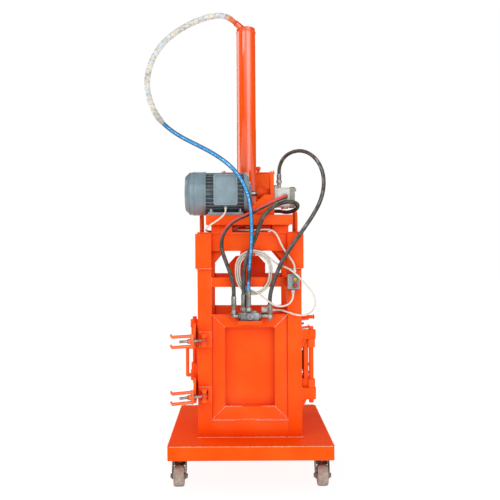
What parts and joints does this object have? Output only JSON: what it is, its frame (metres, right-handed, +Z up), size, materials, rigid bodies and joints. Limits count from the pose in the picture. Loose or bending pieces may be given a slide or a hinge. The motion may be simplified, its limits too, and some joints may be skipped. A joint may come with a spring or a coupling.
{
  "type": "recycling baler",
  "caption": "Wheeled upright hydraulic baler: post frame with side doors, overhead press cylinder, motor, gear pump, oil tank, hand valve and hung cables.",
  "frame": {"origin": "on the floor under the middle of the platform", "axes": "+Z up, +X to the right seen from the valve side, which faces -Y"},
  "size_m": [0.9157, 0.82, 2.3876],
  "materials": {
    "orange_paint": "gloss enamel",
    "motor_paint": "hammered enamel",
    "box_paint": "satin",
    "fork_steel": "worn zinc",
    "zinc_steel": "zinc plated",
    "yellow_zinc": "yellow zinc plated",
    "chrome_rod": "ground",
    "cast_grey": "machined",
    "pump_alloy": "cast",
    "wheel_rubber": "worn",
    "blue_hose": "ribbed",
    "black_hose": "matt",
    "white_cable": "smooth",
    "green_button": "gloss",
    "red_button": "gloss"
  },
  "bodies": {
    "frame": {"platform": "orange_paint", "caster_mounts": "orange_paint", "corner_posts": "orange_paint", "frame_beams": "orange_paint", "corner_sleeves": "orange_paint", "front_panel": "orange_paint", "rear_panel": "orange_paint", "hinge_rods": "orange_paint", "latch_brackets": "orange_paint", "cable_peg": "orange_paint", "cylinder_barrel": "orange_paint", "cylinder_gland": "orange_paint", "head_plate": "orange_paint", "cylinder_cheeks": "orange_paint", "motor_shelf": "orange_paint", "pump_bracket": "orange_paint", "oil_tank": "orange_paint", "motor_body": "motor_paint", "motor_cowl": "motor_paint", "terminal_box": "motor_paint", "gear_pump": "pump_alloy", "machine_bolts": "yellow_zinc", "valve_block": "cast_grey", "hose_fittings": "zinc_steel", "top_hose": "blue_hose", "pump_hose": "black_hose", "loop_hose": "black_hose", "return_hose": "black_hose", "switch_box": "box_paint", "motor_lead": "white_cable", "mains_lead": "white_cable", "mains_coil": "white_cable", "mains_plug": "white_cable"},
    "caster_fl": {"caster_fork_fl": "fork_steel"},
    "wheel_fl": {"caster_wheel_fl": "wheel_rubber"},
    "caster_fr": {"caster_fork_fr": "fork_steel"},
    "wheel_fr": {"caster_wheel_fr": "wheel_rubber"},
    "caster_rl": {"caster_fork_rl": "fork_steel"},
    "wheel_rl": {"caster_wheel_rl": "wheel_rubber"},
    "caster_rr": {"caster_fork_rr": "fork_steel"},
    "wheel_rr": {"caster_wheel_rr": "wheel_rubber"},
    "left_door": {"left_door": "orange_paint", "left_door_irons": "orange_paint"},
    "right_door": {"right_door": "orange_paint", "right_door_irons": "orange_paint"},
    "latch_left_upper": {"latch_bolt_left_upper": "zinc_steel"},
    "nut_left_upper": {"hand_nut_left_upper": "orange_paint"},
    "latch_left_lower": {"latch_bolt_left_lower": "zinc_steel"},
    "nut_left_lower": {"hand_nut_left_lower": "orange_paint"},
    "latch_right_upper": {"latch_bolt_right_upper": "zinc_steel"},
    "nut_right_upper": {"hand_nut_right_upper": "orange_paint"},
    "latch_right_lower": {"latch_bolt_right_lower": "zinc_steel"},
    "nut_right_lower": {"hand_nut_right_lower": "orange_paint"},
    "ram": {"platen": "orange_paint", "ram_rod": "chrome_rod"},
    "motor_shaft": {"motor_shaft": "fork_steel", "coupling": "orange_paint"},
    "filler_cap": {"filler_cap": "orange_paint"},
    "start_button": {"start_button": "green_button"},
    "stop_button": {"stop_button": "red_button"}
  },
  "joints": [
    {"name": "caster_swivel_fl", "type": "hinge", "parent": "frame", "child": "caster_fl", "pos_m": [-0.348, -0.319, 0.12], "axis": [0, 0, 1], "continuous": true},
    {"name": "wheel_spin_fl", "type": "hinge", "parent": "caster_fl", "child": "wheel_fl", "pos_m": [-0.348, -0.349, 0.05], "axis": [1, 0, 0], "continuous": true},
    {"name": "caster_swivel_fr", "type": "hinge", "parent": "frame", "child": "caster_fr", "pos_m": [0.348, -0.319, 0.12], "axis": [0, 0, 1], "continuous": true},
    {"name": "wheel_spin_fr", "type": "hinge", "parent": "caster_fr", "child": "wheel_fr", "pos_m": [0.348, -0.349, 0.05], "axis": [1, 0, 0], "continuous": true},
    {"name": "caster_swivel_rl", "type": "hinge", "parent": "frame", "child": "caster_rl", "pos_m": [-0.348, 0.319, 0.12], "axis": [0, 0, 1], "continuous": true},
    {"name": "wheel_spin_rl", "type": "hinge", "parent": "caster_rl", "child": "wheel_rl", "pos_m": [-0.348, 0.289, 0.05], "axis": [1, 0, 0], "continuous": true},
    {"name": "caster_swivel_rr", "type": "hinge", "parent": "frame", "child": "caster_rr", "pos_m": [0.348, 0.319, 0.12], "axis": [0, 0, 1], "continuous": true},
    {"name": "wheel_spin_rr", "type": "hinge", "parent": "caster_rr", "child": "wheel_rr", "pos_m": [0.348, 0.289, 0.05], "axis": [1, 0, 0], "continuous": true},
    {"name": "left_door_hinge", "type": "hinge", "parent": "frame", "child": "left_door", "pos_m": [-0.308, 0.24, 0.55], "axis": [0, 0, -1], "range_deg": [0, 105]},
    {"name": "right_door_hinge", "type": "hinge", "parent": "frame", "child": "right_door", "pos_m": [0.308, -0.24, 0.55], "axis": [0, 0, -1], "range_deg": [0, 105]},
    {"name": "latch_swing_left_upper", "type": "hinge", "parent": "frame", "child": "latch_left_upper", "pos_m": [-0.227, -0.3, 0.7], "axis": [0, 0, 1], "range_deg": [-22, 70]},
    {"name": "nut_turn_left_upper", "type": "hinge", "parent": "latch_left_upper", "child": "nut_left_upper", "pos_m": [-0.227, -0.3, 0.7], "axis": [-0.9272, -0.3746, 0], "continuous": true},
    {"name": "latch_swing_left_lower", "type": "hinge", "parent": "frame", "child": "latch_left_lower", "pos_m": [-0.227, -0.3, 0.425], "axis": [0, 0, 1], "range_deg": [-22, 70]},
    {"name": "nut_turn_left_lower", "type": "hinge", "parent": "latch_left_lower", "child": "nut_left_lower", "pos_m": [-0.227, -0.3, 0.425], "axis": [-0.9272, -0.3746, 0], "continuous": true},
    {"name": "latch_swing_right_upper", "type": "hinge", "parent": "frame", "child": "latch_right_upper", "pos_m": [0.227, 0.3, 0.7], "axis": [0, 0, 1], "range_deg": [-36, 56]},
    {"name": "nut_turn_right_upper", "type": "hinge", "parent": "latch_right_upper", "child": "nut_right_upper", "pos_m": [0.227, 0.3, 0.7], "axis": [0.809, 0.5878, 0], "continuous": true},
    {"name": "latch_swing_right_lower", "type": "hinge", "parent": "frame", "child": "latch_right_lower", "pos_m": [0.227, 0.3, 0.425], "axis": [0, 0, 1], "range_deg": [-36, 56]},
    {"name": "nut_turn_right_lower", "type": "hinge", "parent": "latch_right_lower", "child": "nut_right_lower", "pos_m": [0.227, 0.3, 0.425], "axis": [0.809, 0.5878, 0], "continuous": true},
    {"name": "ram_stroke", "type": "slide", "parent": "frame", "child": "ram", "axis": [0, 0, -1], "range_m": [0, 0.65]},
    {"name": "motor_spin", "type": "hinge", "parent": "frame", "child": "motor_shaft", "pos_m": [0, -0.19, 1.432], "axis": [1, 0, 0], "continuous": true},
    {"name": "filler_cap_turn", "type": "hinge", "parent": "frame", "child": "filler_cap", "pos_m": [0.057, 0.118, 1.6], "axis": [0, 0, 1], "continuous": true},
    {"name": "start_press", "type": "slide", "parent": "frame", "child": "start_button", "axis": [0, 1, 0], "range_m": [0, 0.004], "stiffness_N_per_m": 500, "springref_m": -0.001},
    {"name": "stop_press", "type": "slide", "parent": "frame", "child": "stop_button", "axis": [0, 1, 0], "range_m": [0, 0.004], "stiffness_N_per_m": 500, "springref_m": -0.001}
  ]
}
